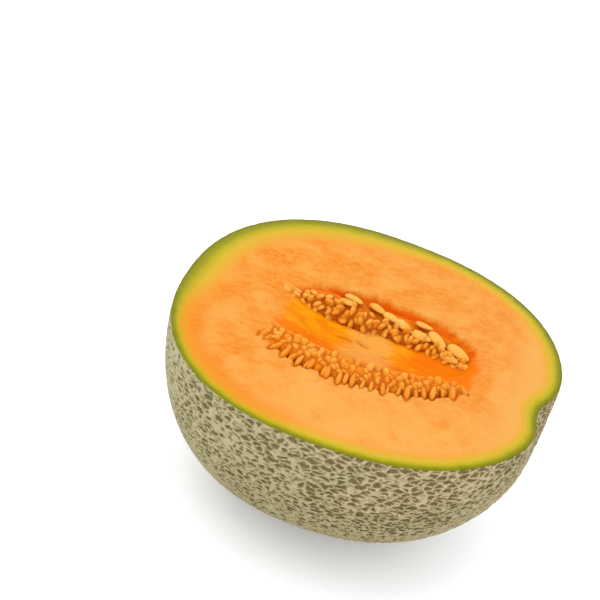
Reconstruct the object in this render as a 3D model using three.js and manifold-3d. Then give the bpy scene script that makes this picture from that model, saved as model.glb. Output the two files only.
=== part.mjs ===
// Half of a netted cantaloupe melon, cut from end to end and lying on its round back with the seeds still in.
//
// Millimetres, +Z up. X runs along the melon's own axis, from the blossom end (-X) to the stem end (+X).
// The origin is the middle of the small flat spot that the half rests on, and the cut face is level above it.
// Three pieces: the grown body of rind and flesh, and the two lobes of seeds that lie in its hollow.
// All three are shaped about the melon's middle, which lies on the cut face, and then raised together.

import * as THREE from "three";
import { ConvexHull } from "three/addons/math/ConvexHull.js";
import { mergeVertices } from "three/addons/utils/BufferGeometryUtils.js";
import Module from "manifold-3d";

// The melon's outer form
const AXIS_LENGTH = 156; // blossom end to stem end
const WIDTH = 160; // across the axis
const FULLNESS = 2.3; // exponent of the outline: 2 is an ellipse, more is blockier
const STEM_TAPER = 0.03; // how much narrower the stem end is than the middle
const CUT_HEIGHT = 79.6; // from the surface it rests on up to the cut face

// The dent that the stem left
const STEM_DENT = { y: -10, z: -2, depth: 6, radius: 15 };
const DENT_DIRECTION = new THREE.Vector3(AXIS_LENGTH / 2, STEM_DENT.y, STEM_DENT.z).normalize();

// The raised net, coarser than the grown one
const NET_CELLS = 700; // over the whole melon, before the cut
const NET_HEIGHT = 1.1;
const NET_JITTER = 0.5; // share of a cell's spacing
const PIT_TOP = [0.68, 0.82]; // a pit's mouth as a share of its cell, least and most
const PIT_FLOOR = 0.78; // a pit's floor as a share of its mouth
const NET_SEED = 20;

// The seed hollow in the cut face: a squarish oval, narrower at the stem end and shallower at the blossom end
const HOLLOW = {
  x: 1.6,
  y: -2.2,
  halfLength: 46,
  halfWidth: 32.6,
  depth: 9,
  fullness: 2.3,
  taper: 0.08,
  skew: 3,
};
const HOLLOW_STEEPNESS = 5;
const HOLLOW_RAMP = 28; // length of the slope up to the cut face at the blossom end
const HOLLOW_RINGS = 7;
const HOLLOW_SIDES = 40;
const HOLLOW_HEADROOM = 4; // the taken-out shape is carried this far past the cut face
const PULP_RIDGES = { count: 5, height: 0.9 }; // soft strands along the floor
const GAP = 0.3; // between the lobes and the flesh

// The seeds, and the strands that they are sunk in
const SEED = { length: 9.5, width: 4.6, thickness: 2.8, tip: 0.45, bluntness: 0.75, sides: 6, rings: 4 };
const SEED_JITTER = { along: 0.06, tilt: 16, turn: 0.5, lean: 0.5, twist: 2.4 };
const STRAND = { sides: 14, rings: 20 };

// The two lobes of seeds. side is +1 at the back of the hollow and -1 at the front. y and z place the middle
// of the strand, whose line is bent by bend, slanted by slant and raised by rise towards its blossom end.
// Along it, t runs from -1 to +1. Around it, an angle is 0 facing the hollow's middle and 90 on top. The
// middles of the seeds stand out from the strand's surface by standOut. The seeds of a row point into the
// strand. Those on top of the back lobe lie on it, each turned by its own angle from the strand's line.
const BACK_LOBE = {
  side: 1,
  halfLength: 44,
  y: 22.3,
  z: -8.2,
  bend: 9,
  slant: 0.5,
  rise: 4.8,
  halfWidth: 8,
  halfHeight: 6,
  fullness: 2,
  seed: 7,
  rows: [
    { angle: 76, count: 9, from: -0.95, to: -0.3, standOut: -1.6 },
    { angle: 54, count: 16, from: -0.94, to: 0.9, standOut: -1.7 },
    { angle: 34, count: 18, from: -0.93, to: 0.95, standOut: -2 },
    { angle: 12, count: 17, from: -0.9, to: 0.95, standOut: -2.3 },
  ],
  lyingStandOut: 0.9,
  lying: [
    { t: -0.34, angle: 106, turn: -40 },
    { t: -0.36, angle: 78, turn: -11 },
    { t: -0.1, angle: 97, turn: -35 },
    { t: 0.05, angle: 79, turn: -14 },
    { t: 0.19, angle: 67, turn: -22 },
    { t: 0.36, angle: 103, turn: -2 },
    { t: 0.37, angle: 58, turn: 0 },
    { t: 0.52, angle: 71, turn: -22 },
    { t: 0.74, angle: 70, turn: -8 },
    { t: 0.68, angle: 35, turn: 0 },
    { t: 0.84, angle: 32, turn: 2 },
  ],
};
const FRONT_LOBE = {
  side: -1,
  halfLength: 45,
  y: -23.7,
  z: -6.9,
  bend: 14,
  slant: 5.8,
  rise: 4.4,
  halfWidth: 9.4,
  halfHeight: 6,
  fullness: 1.4,
  seed: 11,
  rows: [
    { angle: 122, count: 16, from: -0.92, to: 0.94, standOut: -3.4 },
    { angle: 94, count: 18, from: -0.94, to: 0.95, standOut: -3.5 },
    { angle: 62, count: 17, from: -0.92, to: 0.94, standOut: -2.4 },
  ],
  lyingStandOut: 0,
  lying: [],
};

const RIND_COLOUR = 0xb5aa84;
const SEED_COLOUR = 0xe9b266;

const wasm = await Module();
wasm.setup();

/** Repeatable numbers from 0 to 1. */
function randomFrom(seed) {
  let state = seed;
  return () => {
    state = (state + 0x6d2b79f5) | 0;
    let t = Math.imul(state ^ (state >>> 15), 1 | state);
    t = (t + Math.imul(t ^ (t >>> 7), 61 | t)) ^ t;
    return ((t ^ (t >>> 14)) >>> 0) / 4294967296;
  };
}

/** The closed solid that a geometry's triangles bound. */
function solid(geometry) {
  const bare = geometry.clone();
  bare.deleteAttribute("normal");
  bare.deleteAttribute("uv");
  const merged = mergeVertices(bare, 1e-4);
  return new wasm.Manifold(
    new wasm.Mesh({
      numProp: 3,
      vertProperties: new Float32Array(merged.attributes.position.array),
      triVerts: new Uint32Array(merged.index.array),
    }),
  );
}

/** The biggest of the loose bodies in a solid. */
function largestBody(body) {
  return body.decompose().sort((a, b) => b.volume() - a.volume())[0];
}

/** A solid as a named mesh. */
function meshOf(body, name, colour, roughness) {
  const { vertProperties, triVerts } = body.getMesh();
  const geometry = new THREE.BufferGeometry();
  geometry.setAttribute("position", new THREE.BufferAttribute(vertProperties, 3));
  geometry.setIndex(new THREE.BufferAttribute(triVerts, 1));
  geometry.computeVertexNormals();
  const material = new THREE.MeshStandardMaterial({ color: colour, roughness, metalness: 0 });
  const mesh = new THREE.Mesh(geometry, material);
  mesh.name = name;
  return mesh;
}

/** Distance from the melon's middle to its skin, between the net's lines, along a unit direction. */
function skinRadius(direction) {
  const along = Math.abs(direction.x) / (AXIS_LENGTH / 2);
  const halfWidth = (WIDTH / 2) * (1 - STEM_TAPER * direction.x);
  const across = Math.hypot(direction.y, direction.z) / halfWidth;
  const round = (along ** FULLNESS + across ** FULLNESS) ** (-1 / FULLNESS);
  const fromDent = (direction.angleTo(DENT_DIRECTION) * AXIS_LENGTH) / 2;
  return round - STEM_DENT.depth * Math.exp(-((fromDent / STEM_DENT.radius) ** 2));
}

/** Unit directions spread evenly over a sphere, each moved a little at random. */
function netSites(count, random) {
  const spacing = Math.sqrt((4 * Math.PI) / count);
  const goldenAngle = Math.PI * (3 - Math.sqrt(5));
  return Array.from({ length: count }, (_, i) => {
    const x = 1 - (2 * (i + 0.5)) / count;
    const around = i * goldenAngle;
    const r = Math.sqrt(1 - x * x);
    const move = () => (random() - 0.5) * 2 * NET_JITTER * spacing;
    const even = new THREE.Vector3(x, r * Math.cos(around), r * Math.sin(around));
    return even.add(new THREE.Vector3(move(), move(), move())).normalize();
  });
}

/**
 * The whole melon with its net: flat-topped lines between sunk pits. Each site is a cell of a Voronoi diagram
 * on the sphere, found from the convex hull of the sites, and its pit is the cell drawn in to its middle.
 */
function nettedMelon() {
  const random = randomFrom(NET_SEED);
  const sites = netSites(NET_CELLS, random);
  const sizes = sites.map(() => THREE.MathUtils.lerp(PIT_TOP[0], PIT_TOP[1], random()));
  const siteOf = new Map(sites.map((site, i) => [site, i]));
  const hull = new ConvexHull().setFromPoints(sites);
  const corners = hull.faces.map((face) => [0, 1, 2].map((k) => siteOf.get(face.getEdge(k).head().point)));
  const cornerDirections = hull.faces.map((face) => face.normal.clone().normalize());

  // The hull's faces in order round each site, from the face that each directed edge belongs to
  const faceOfEdge = new Map();
  const key = (a, b) => a * NET_CELLS + b;
  corners.forEach((c, f) => {
    [0, 1, 2].forEach((k) => faceOfEdge.set(key(c[k], c[(k + 1) % 3]), f));
  });
  const after = (f, site) => corners[f][(corners[f].indexOf(site) + 2) % 3];
  const firstFace = new Map();
  corners.forEach((c, f) => c.forEach((site) => firstFace.set(site, f)));
  const rings = sites.map((_, site) => {
    const ring = [firstFace.get(site)];
    for (let f = faceOfEdge.get(key(site, after(ring[0], site))); f !== ring[0]; ) {
      ring.push(f);
      f = faceOfEdge.get(key(site, after(f, site)));
    }
    return ring;
  });

  const positions = [];
  const triangles = [];
  const place = (direction, height) => {
    const unit = direction.clone().normalize();
    const p = unit.multiplyScalar(skinRadius(unit) + height);
    positions.push(p.x, p.y, p.z);
    return positions.length / 3 - 1;
  };
  const quad = (a, b, c, d) => triangles.push(a, b, c, a, c, d);
  const mouths = rings.map(() => new Map());
  rings.forEach((ring, site) => {
    const middle = new THREE.Vector3();
    ring.forEach((f) => middle.add(cornerDirections[f]));
    middle.normalize();
    const inward = (f, share) => middle.clone().lerp(cornerDirections[f], share);
    ring.forEach((f) => mouths[site].set(f, place(inward(f, sizes[site]), NET_HEIGHT)));
    const floor = ring.map((f) => place(inward(f, sizes[site] * PIT_FLOOR), 0));
    ring.forEach((f, i) => {
      const j = (i + 1) % ring.length;
      quad(floor[i], mouths[site].get(f), mouths[site].get(ring[j]), floor[j]);
      if (i > 0 && j > 0) triangles.push(floor[0], floor[i], floor[j]);
    });
  });
  rings.forEach((ring, site) => {
    ring.forEach((f, i) => {
      const g = ring[(i + 1) % ring.length];
      const other = after(f, site);
      if (site > other) return;
      quad(mouths[site].get(g), mouths[site].get(f), mouths[other].get(f), mouths[other].get(g));
    });
  });
  corners.forEach((c, f) => triangles.push(...c.map((site) => mouths[site].get(f))));

  const geometry = new THREE.BufferGeometry();
  geometry.setAttribute("position", new THREE.Float32BufferAttribute(positions, 3));
  geometry.setIndex(triangles);
  return solid(geometry);
}

/** A point of the hollow's floor, at a share of the way from its middle to its edge. */
function hollowPoint(share, angle, inset) {
  const [cos, sin] = [Math.cos(angle), Math.sin(angle)];
  const n = HOLLOW.fullness;
  const reach = share * (Math.abs(cos) ** n + Math.abs(sin) ** n) ** (-1 / n);
  const x = reach * (HOLLOW.halfLength - inset) * cos;
  const y = reach * (HOLLOW.halfWidth - inset) * (1 - HOLLOW.taper * cos) * sin;
  const bowl = Math.sqrt(1 - share ** HOLLOW_STEEPNESS);
  const ramp = THREE.MathUtils.smoothstep(x, -HOLLOW.halfLength, HOLLOW_RAMP - HOLLOW.halfLength);
  const strands = PULP_RIDGES.height * Math.cos((y / HOLLOW.halfWidth) * PULP_RIDGES.count * Math.PI);
  const depth = (HOLLOW.depth - strands) * bowl * ramp;
  const leaning = (HOLLOW.skew * x) / HOLLOW.halfLength;
  return new THREE.Vector3(HOLLOW.x + x, HOLLOW.y + y + leaning, inset - depth);
}

/** What the hollow takes out of the melon: its bowl, carried straight up past the cut face. */
function hollowBlank(inset) {
  const positions = [];
  const triangles = [];
  const add = (p) => positions.push(p.x, p.y, p.z) / 3 - 1;
  const middle = add(hollowPoint(0, 0, inset));
  const rings = Array.from({ length: HOLLOW_RINGS }, (_, r) =>
    Array.from({ length: HOLLOW_SIDES }, (_, s) =>
      add(hollowPoint((r + 1) / HOLLOW_RINGS, (2 * Math.PI * s) / HOLLOW_SIDES, inset)),
    ),
  );
  const edge = rings.at(-1);
  const lid = edge.map((i) =>
    add(new THREE.Vector3(positions[3 * i], positions[3 * i + 1], HOLLOW_HEADROOM)),
  );
  [...rings, lid].forEach((ring, r, all) => {
    ring.forEach((a, s) => {
      const b = ring[(s + 1) % HOLLOW_SIDES];
      if (r === 0) {
        triangles.push(middle, b, a);
        return;
      }
      const inner = all[r - 1];
      triangles.push(inner[s], b, a, inner[s], inner[(s + 1) % HOLLOW_SIDES], b);
    });
  });
  lid.forEach((a, s) => {
    if (s > 0 && s < HOLLOW_SIDES - 1) triangles.push(lid[0], a, lid[s + 1]);
  });
  const geometry = new THREE.BufferGeometry();
  geometry.setAttribute("position", new THREE.Float32BufferAttribute(positions, 3));
  geometry.setIndex(triangles);
  return solid(geometry);
}

/** The space under the knife's flat cut, down to the level of the spot that the half rests on. */
function belowCut() {
  const slab = new THREE.BoxGeometry(2 * AXIS_LENGTH, 2 * WIDTH, CUT_HEIGHT);
  return solid(slab.translate(0, 0, -CUT_HEIGHT / 2));
}

/** The rind and flesh of the half, as grown, with the cut face, the hollow and the spot that it rests on. */
function melonHalf() {
  return nettedMelon().intersect(belowCut()).subtract(hollowBlank(0));
}

/** One seed: a flat drop, round at the -X end and drawn in towards its tip at +X. */
function seedGeometry() {
  const drop = new THREE.SphereGeometry(1, SEED.sides, SEED.rings).rotateZ(-Math.PI / 2).scale(0.5, 0.5, 0.5);
  const p = drop.attributes.position;
  for (let i = 0; i < p.count; i++) {
    const x = (Math.sign(p.getX(i)) * Math.abs(2 * p.getX(i)) ** SEED.bluntness) / 2;
    const slim = 1 - SEED.tip * (x + 0.5) ** 2;
    p.setXYZ(i, x * SEED.length, p.getY(i) * SEED.width * slim, p.getZ(i) * SEED.thickness * slim);
  }
  return drop;
}

/** A point on the middle line of a lobe's strand, for t from -1 at the blossom end to +1 at the stem end. */
function spine({ side, halfLength, y, z, bend, slant, rise }, t) {
  const raised = z + rise * Math.min(t, 0) ** 2;
  return new THREE.Vector3(HOLLOW.x + t * halfLength, y - side * bend * t * t + slant * t, raised);
}

/** A lobe's strand without its seeds: round in section and full until close to its ends. */
function strandGeometry(lobe) {
  const strand = new THREE.SphereGeometry(1, STRAND.sides, STRAND.rings).rotateZ(Math.PI / 2);
  const p = strand.attributes.position;
  for (let i = 0; i < p.count; i++) {
    const middle = spine(lobe, Math.sign(p.getX(i)) * Math.abs(p.getX(i)) ** (1 / lobe.fullness));
    p.setXYZ(i, middle.x, middle.y + p.getY(i) * lobe.halfWidth, middle.z + p.getZ(i) * lobe.halfHeight);
  }
  return strand;
}

/** A place on a lobe: its middle and the directions out of the strand and along it. */
function placeOn(lobe, t, angle, standOut) {
  const tilt = THREE.MathUtils.degToRad(angle);
  const out = new THREE.Vector3(0, -lobe.side * Math.cos(tilt), Math.sin(tilt));
  const girth = Math.sqrt(1 - Math.abs(t) ** (2 * lobe.fullness));
  const surface = new THREE.Vector3(0, out.y * lobe.halfWidth, out.z * lobe.halfHeight).multiplyScalar(girth);
  const middle = spine(lobe, t).add(surface).addScaledVector(out, standOut);
  const slope = (lobe.slant - 2 * lobe.side * lobe.bend * t) / lobe.halfLength;
  return { middle, out, along: new THREE.Vector3(1, slope, 0).normalize() };
}

/** A seed at a place, its tip turned one way and its flat side square to that and to sideways. */
function seedAt(middle, tip, sideways, twist) {
  const flat = new THREE.Vector3().crossVectors(tip, sideways);
  const pose = new THREE.Matrix4().makeBasis(tip, sideways, flat).setPosition(middle);
  return solid(seedGeometry().applyMatrix4(pose.multiply(new THREE.Matrix4().makeRotationX(twist))));
}

/** The seeds of a row, which point into the strand, each a little different from the next. */
function rowOfSeeds(lobe, { angle, count, from, to, standOut }, random) {
  const vary = (size) => (random() - 0.5) * size;
  return Array.from({ length: count }, (_, i) => {
    const t = THREE.MathUtils.lerp(from, to, (i + 0.5 + vary(SEED_JITTER.along) * count) / count);
    const { middle, out, along } = placeOn(lobe, t, angle + vary(SEED_JITTER.tilt), standOut);
    const skew = new THREE.Vector3(0, vary(SEED_JITTER.turn), vary(SEED_JITTER.turn));
    const skewed = along.add(skew).normalize();
    const tip = out.negate().addScaledVector(skewed, vary(SEED_JITTER.lean)).normalize();
    const sideways = new THREE.Vector3().crossVectors(skewed, tip).normalize();
    return seedAt(middle, tip, sideways, vary(SEED_JITTER.twist));
  });
}

/** The seeds that lie on a lobe. */
function lyingSeeds(lobe) {
  return lobe.lying.map(({ t, angle, turn }) => {
    const { middle, out, along } = placeOn(lobe, t, angle, lobe.lyingStandOut);
    const tip = along.applyAxisAngle(out, THREE.MathUtils.degToRad(turn));
    return seedAt(middle, tip, new THREE.Vector3().crossVectors(out, tip).normalize(), 0);
  });
}

/** A lobe: its strand with the seeds, fitted into the hollow and cut level with the cut face. */
function seedLobe(lobe) {
  const random = randomFrom(lobe.seed);
  const seeds = [...lobe.rows.flatMap((row) => rowOfSeeds(lobe, row, random)), ...lyingSeeds(lobe)];
  const grown = wasm.Manifold.union([solid(strandGeometry(lobe)), ...seeds]);
  return largestBody(grown.intersect(hollowBlank(GAP)).intersect(belowCut()));
}

const melon = new THREE.Group();
melon.name = "cantaloupe_half";
melon.position.z = CUT_HEIGHT;
melon.add(
  meshOf(melonHalf(), "melon_half", RIND_COLOUR, 0.8),
  meshOf(seedLobe(BACK_LOBE), "seed_lobe_back", SEED_COLOUR, 0.4),
  meshOf(seedLobe(FRONT_LOBE), "seed_lobe_front", SEED_COLOUR, 0.4),
);

export default melon;
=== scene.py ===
"""The looks of a cantaloupe melon half: netted rind, cut flesh, pulp and seeds, on a pale floor.

Lengths in the code are millimetres, measured from the melon's middle, which lies on the cut face. They are
turned into metres, with the resting spot at z = 0, where a mesh is made. X runs from the blossom end to the
stem end.
"""

import math

import bpy
import numpy as np
from mathutils import Matrix, Vector, noise


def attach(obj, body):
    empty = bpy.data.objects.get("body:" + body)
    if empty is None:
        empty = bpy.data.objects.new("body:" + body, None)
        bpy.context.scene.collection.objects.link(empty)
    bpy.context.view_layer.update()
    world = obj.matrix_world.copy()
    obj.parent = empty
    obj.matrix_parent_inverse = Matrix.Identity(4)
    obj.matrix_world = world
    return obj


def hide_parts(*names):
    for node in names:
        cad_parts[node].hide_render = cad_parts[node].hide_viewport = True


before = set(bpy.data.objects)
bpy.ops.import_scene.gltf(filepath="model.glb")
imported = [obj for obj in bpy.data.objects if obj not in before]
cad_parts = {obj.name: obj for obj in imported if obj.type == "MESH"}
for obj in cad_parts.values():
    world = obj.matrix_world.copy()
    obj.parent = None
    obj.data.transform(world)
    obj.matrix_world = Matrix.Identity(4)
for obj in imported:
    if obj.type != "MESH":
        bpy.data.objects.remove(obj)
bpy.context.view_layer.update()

MM = 0.001
CUT_HEIGHT = 79.6  # of the cut face above the resting spot

# The melon's outer form
AXIS_LENGTH = 156
WIDTH = 160
FULLNESS = 2.3
STEM_TAPER = 0.03
STEM_DENT = {"y": -10, "z": -2, "depth": 6, "radius": 15}

# The net
NET_RADIUS = 80  # of the sphere on which its pattern is laid out
NET_CELL = 2.15
NET_STRETCH = 0.52  # the cells are longer level than upright
NET_WANDER = 1.5
NET_FOOT = -0.2  # floor of the pits, from the smooth skin
NET_TOP = 0.65
NET_AT_CUT = {"net": 0.6, "share": 0.75, "height": 3}  # how far the relief evens out in that height
NET_BOLDER = (-20.0, 35.0)  # the stretch along X over which the net turns bolder

# The meshes' fineness
DOME_STEPS = 140
# Shares of the way from the skin to the hollow, closer together near it
FACE_STEPS = (*np.linspace(0, 0.66, 8)[1:], *np.linspace(0.66, 1, 22)[1:])
HOLLOW_RINGS = 46
FEWEST_AROUND = 80  # points in one of the hollow's rings
AROUND_AT_EDGE = 640  # a ring halves its points where it is narrower than that many would need
SEED_STEPS = {"rings": 12, "sides": 14}
STRAND_STEPS = {"rings": 150, "sides": 56}
SHORTEST = 1e-6  # the least length that a direction is divided by
NOISE_SHIFT = (17.3, 5.1, 9.7)  # between the noise of one seed number and the next

# The hollow
HOLLOW = {
    "x": 1.6,
    "y": -2.2,
    "half_length": 46,
    "half_width": 32.6,
    "depth": 8,
    "fullness": 2.3,
    "taper": 0.08,
    "skew": 3,
    "steepness": 5,
    "ramp": 28,  # how long the floor takes to sink at the blossom end
    "end_ramp": 14,  # how long the pulp takes to rise at the stem end
    "overrun": 2,  # how far past the edge that rise would end
}
PULP_RIDGES = {"count": 5, "height": 0.9}
SLITS = [(-10.3, 5.0, 3.4), (-3.0, 5.6, 2.8), (-5.8, -1.5, 3.6), (9, 1.5, 3.0)]  # x, y and half length
SLIT = {"half_width": 0.55, "sway": 0.25, "depth": 0.9}
FIBRE_STRETCH = 0.22
PULP_FIBRES = [(2.2, 0.55, 3), (1.1, 0.25, 5)]  # length, height and seed of each wave
PULP_LUMPS = [(7, 0.9, 4)]
LIP_SHARE = 0.12  # of the way in, over which the floor takes up the ragged edge
RAGGED_EDGE = {"wave": 2.6, "seed": 8, "size": 2.2, "behind": (5, 20)}
SAG = {"wave": 4, "seed": 6, "depth": 0.25, "share": (0.6, 0.8)}  # of the cut face, near the hollow
BELOW_CUT = 0.05  # how far the pulp stays under the cut face
DEEP_INSIDE = 100  # a distance from the skin that is past the rim's colours

# The seeds and the strands that hold them, placed as in the solid part. The buried seeds are sunk in the pulp
# between the rows, and only their ends show.
SEED = {"length": 9.5, "width": 4.6, "thickness": 2.8, "tip": 0.45, "bluntness": 0.75}
SEED_JITTER = {"along": 0.06, "tilt": 16, "turn": 0.5, "lean": 0.5, "twist": 2.4}
SEED_VARIETY = {"smallest": 0.86, "bend": 0.024}
SHAPE_DRAW = 100  # added to a lobe's seed number for the draw of its seeds' shapes
LYING_TONES = (0.65, 0.92)
STRAND_GROOVE = 0.9
STRAND_LUMPS = [(3.5, 0.35), (1.4, 0.15)]  # length and height of each wave
BACK_LOBE = {
    "side": 1,
    "half_length": 44,
    "y": 22.3,
    "z": -8.2,
    "bend": 9,
    "slant": 0.5,
    "rise": 4.8,
    "half_width": 8,
    "half_height": 6,
    "fullness": 2,
    "squareness": 2.0,
    "seed": 7,
    "rows": [
        {"angle": 76, "count": 9, "from": -0.95, "to": -0.3, "stand_out": -1.6},
        {"angle": 54, "count": 16, "from": -0.94, "to": 0.9, "stand_out": -1.7},
        {"angle": 34, "count": 18, "from": -0.93, "to": 0.95, "stand_out": -2},
        {"angle": 12, "count": 17, "from": -0.9, "to": 0.95, "stand_out": -2.3},
    ],
    "lying_stand_out": 0.9,
    "lying": [
        {"t": -0.34, "angle": 106, "turn": -40, "size": 1.06},
        {"t": -0.36, "angle": 78, "turn": -11, "size": 0.7},
        {"t": -0.1, "angle": 97, "turn": -35, "size": 1.0},
        {"t": 0.05, "angle": 79, "turn": -14, "size": 0.88},
        {"t": 0.19, "angle": 67, "turn": -22, "size": 0.92},
        {"t": 0.36, "angle": 103, "turn": -2, "size": 0.95},
        {"t": 0.37, "angle": 58, "turn": 0, "size": 0.96},
        {"t": 0.52, "angle": 71, "turn": -22, "size": 1.1},
        {"t": 0.74, "angle": 70, "turn": -8, "size": 1.18},
        {"t": 0.68, "angle": 35, "turn": 0, "size": 0.9},
        {"t": 0.84, "angle": 32, "turn": 2, "size": 0.75},
    ],
    "tones": (0.25, 0.7),
    "buried": [
        {"angle": 66, "count": 9, "from": -0.3, "to": 0.9, "stand_out": -3.0},
        {"angle": 44, "count": 13, "from": -0.6, "to": 0.93, "stand_out": -3.1},
        {"angle": 22, "count": 15, "from": -0.9, "to": 0.94, "stand_out": -3.2},
    ],
}
FRONT_LOBE = {
    "side": -1,
    "half_length": 45,
    "y": -23.7,
    "z": -6.9,
    "bend": 14,
    "slant": 5.8,
    "rise": 4.4,
    "half_width": 9.4,
    "half_height": 6,
    "fullness": 1.4,
    "squareness": 3.0,
    "seed": 11,
    "rows": [
        {"angle": 122, "count": 16, "from": -0.92, "to": 0.94, "stand_out": -3.4},
        {"angle": 94, "count": 18, "from": -0.94, "to": 0.95, "stand_out": -3.5},
        {"angle": 62, "count": 17, "from": -0.92, "to": 0.94, "stand_out": -2.4},
    ],
    "lying_stand_out": 0,
    "lying": [],
    "tones": (0.1, 0.6),
    "buried": [
        {"angle": 108, "count": 21, "from": -0.9, "to": 0.94, "stand_out": -3.6},
        {"angle": 80, "count": 18, "from": -0.92, "to": 0.94, "stand_out": -3.8},
    ],
}

# The seeds that the knife met along the front lobe's outer side. They point at the strand from the flesh.
CUT_SEEDS = {
    "count": 25,
    "from": -0.92,
    "to": 0.94,
    "jitter": 0.8,
    "outside": (-0.24, -1.8),
    "depth": (1.36, 2.21),
    "fan": 0.4,
    "fan_jitter": 0.9,
    "twist": 0.5,
    "size": (0.75, 1.15),
    "edge": 0.95,  # how thick they look, as a share of a whole seed's thickness
    "tones": (0.0, 0.3),
    "seed": 31,
}
SOCKET = {"depth": 1.0, "near": 1.28, "far": 1.7}  # near and far as shares of a seed's half size

# The camera, which also carries the lean of the half in the photograph, in millimetres and degrees
PHOTO_WIDTH = 600  # pixels
SENSOR_WIDTH = 36
PIXELS_PER_MM = 2.516  # in the photograph, at the melon's middle
CAMERA = {"distance": 780, "elevation": 32.6, "azimuth": 8.1, "roll": 15.9, "focal_pixels": 1962}
CAMERA_AIM = (-71.1 / PIXELS_PER_MM, 36.6 / PIXELS_PER_MM)  # right and up from the melon's middle

# The lights and the floor, in metres
LIGHTS = {
    "key": {"place": (-0.45, -0.35, 1.3), "size": 1.2, "power": 4},
    "fill": {"place": (0.1, -1.5, 0.4), "size": 1.0, "power": 3},
}
LIGHT_TARGET = (0, 0, 0.04)
SKY = {"colour": (0.985, 0.99, 1, 1), "strength": 1.4}
FLOOR_SIZE = 6
FLOOR_GRAIN = 0.025
FLOOR_SHADES = [(0.9, 0.92, 0.95, 1), (0.92, 0.94, 0.97, 1)]
FLOOR_GLOW = 0.15  # of a lit table, which keeps the shadow close and pale

# Small helpers


def random_from(seed):
    """Repeatable numbers from 0 to 1."""
    state = seed

    def draw():
        nonlocal state
        state = (state + 0x6D2B79F5) & 0xFFFFFFFF
        t = ((state ^ (state >> 15)) * (1 | state)) & 0xFFFFFFFF
        t ^= (t + (((t ^ (t >> 7)) * (61 | t)) & 0xFFFFFFFF)) & 0xFFFFFFFF
        return (t ^ (t >> 14)) / 2**32

    return draw


def vary(draw, size):
    """A number drawn from a range of a size about zero."""
    return (draw() - 0.5) * size


def pick(draw, low, high):
    """A number drawn from between two others."""
    return low + (high - low) * draw()


def signed_power(value, power):
    """A power of a number's size, with the number's own sign."""
    return math.copysign(abs(value) ** power, value)


def smoothstep(low, high, value):
    """A smooth rise from 0 at the low value to 1 at the high one."""
    t = np.clip((value - low) / (high - low), 0, 1)
    return t * t * (3 - 2 * t)


def make_mesh(name, points, faces, materials, attributes):
    """A smooth-shaded mesh object from points in millimetres about the melon's middle."""
    mesh = bpy.data.meshes.new(name)
    mesh.from_pydata(((np.asarray(points) + (0, 0, CUT_HEIGHT)) * MM).tolist(), [], faces)
    for material in materials:
        mesh.materials.append(material)
    for key, values in attributes.items():
        mesh.attributes.new(key, "FLOAT", "POINT").data.foreach_set("value", np.asarray(values, "f"))
    mesh.polygons.foreach_set("use_smooth", [True] * len(mesh.polygons))
    thing = bpy.data.objects.new(name, mesh)
    bpy.context.collection.objects.link(thing)
    return thing


def add_node(tree, kind, inputs=None, **settings):
    """A node with its settings, and each input set to a value or linked to a socket."""
    made = tree.nodes.new(kind)
    for key, value in settings.items():
        setattr(made, key, value)
    for key, value in (inputs or {}).items():
        if isinstance(value, bpy.types.NodeSocket):
            tree.links.new(value, made.inputs[key])
        else:
            made.inputs[key].default_value = value
    return made


def maths(tree, operation, *values):
    """The result of a Math node."""
    return add_node(tree, "ShaderNodeMath", dict(enumerate(values)), operation=operation).outputs[0]


def vectors(tree, operation, *values):
    """The vector that a Vector Math node gives."""
    return add_node(tree, "ShaderNodeVectorMath", dict(enumerate(values)), operation=operation).outputs[0]


def dot_product(tree, first, second):
    """How far two directions agree, from -1 to 1."""
    made = add_node(tree, "ShaderNodeVectorMath", {0: first, 1: second}, operation="DOT_PRODUCT")
    return made.outputs["Value"]


def ranged(tree, value, low, high, to_low=0.0, to_high=1.0):
    """A value taken smoothly from one range to another, and held at the ends."""
    inputs = {"Value": value, "From Min": low, "From Max": high, "To Min": to_low, "To Max": to_high}
    return add_node(tree, "ShaderNodeMapRange", inputs, interpolation_type="SMOOTHSTEP").outputs[0]


def noise_at(tree, place, size, detail=2.0, roughness=0.5, output="Fac"):
    """Noise with lumps of a size, in the same unit as the place."""
    inputs = {"Vector": place, "Scale": 1 / size, "Detail": detail, "Roughness": roughness}
    return add_node(tree, "ShaderNodeTexNoise", inputs).outputs[output]


def wave_at(tree, place, size, height, detail=2.0, roughness=0.5):
    """Noise about zero, with a height."""
    centred = maths(tree, "SUBTRACT", noise_at(tree, place, size, detail, roughness), 0.5)
    return maths(tree, "MULTIPLY", centred, height)


def blend_colours(tree, factor, first, second):
    """The first colour at a factor of 0, and the second at 1."""
    inputs = {0: factor, 6: first, 7: second}  # a Mix node's factor and its two colours
    return add_node(tree, "ShaderNodeMix", inputs, data_type="RGBA").outputs[2]


def colour(red, green, blue):
    """A linear colour from 0-255 screen values."""
    def linear(c):
        c = c / 255
        return c / 12.92 if c <= 0.04045 else ((c + 0.055) / 1.055) ** 2.4

    return (linear(red), linear(green), linear(blue), 1.0)


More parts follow.
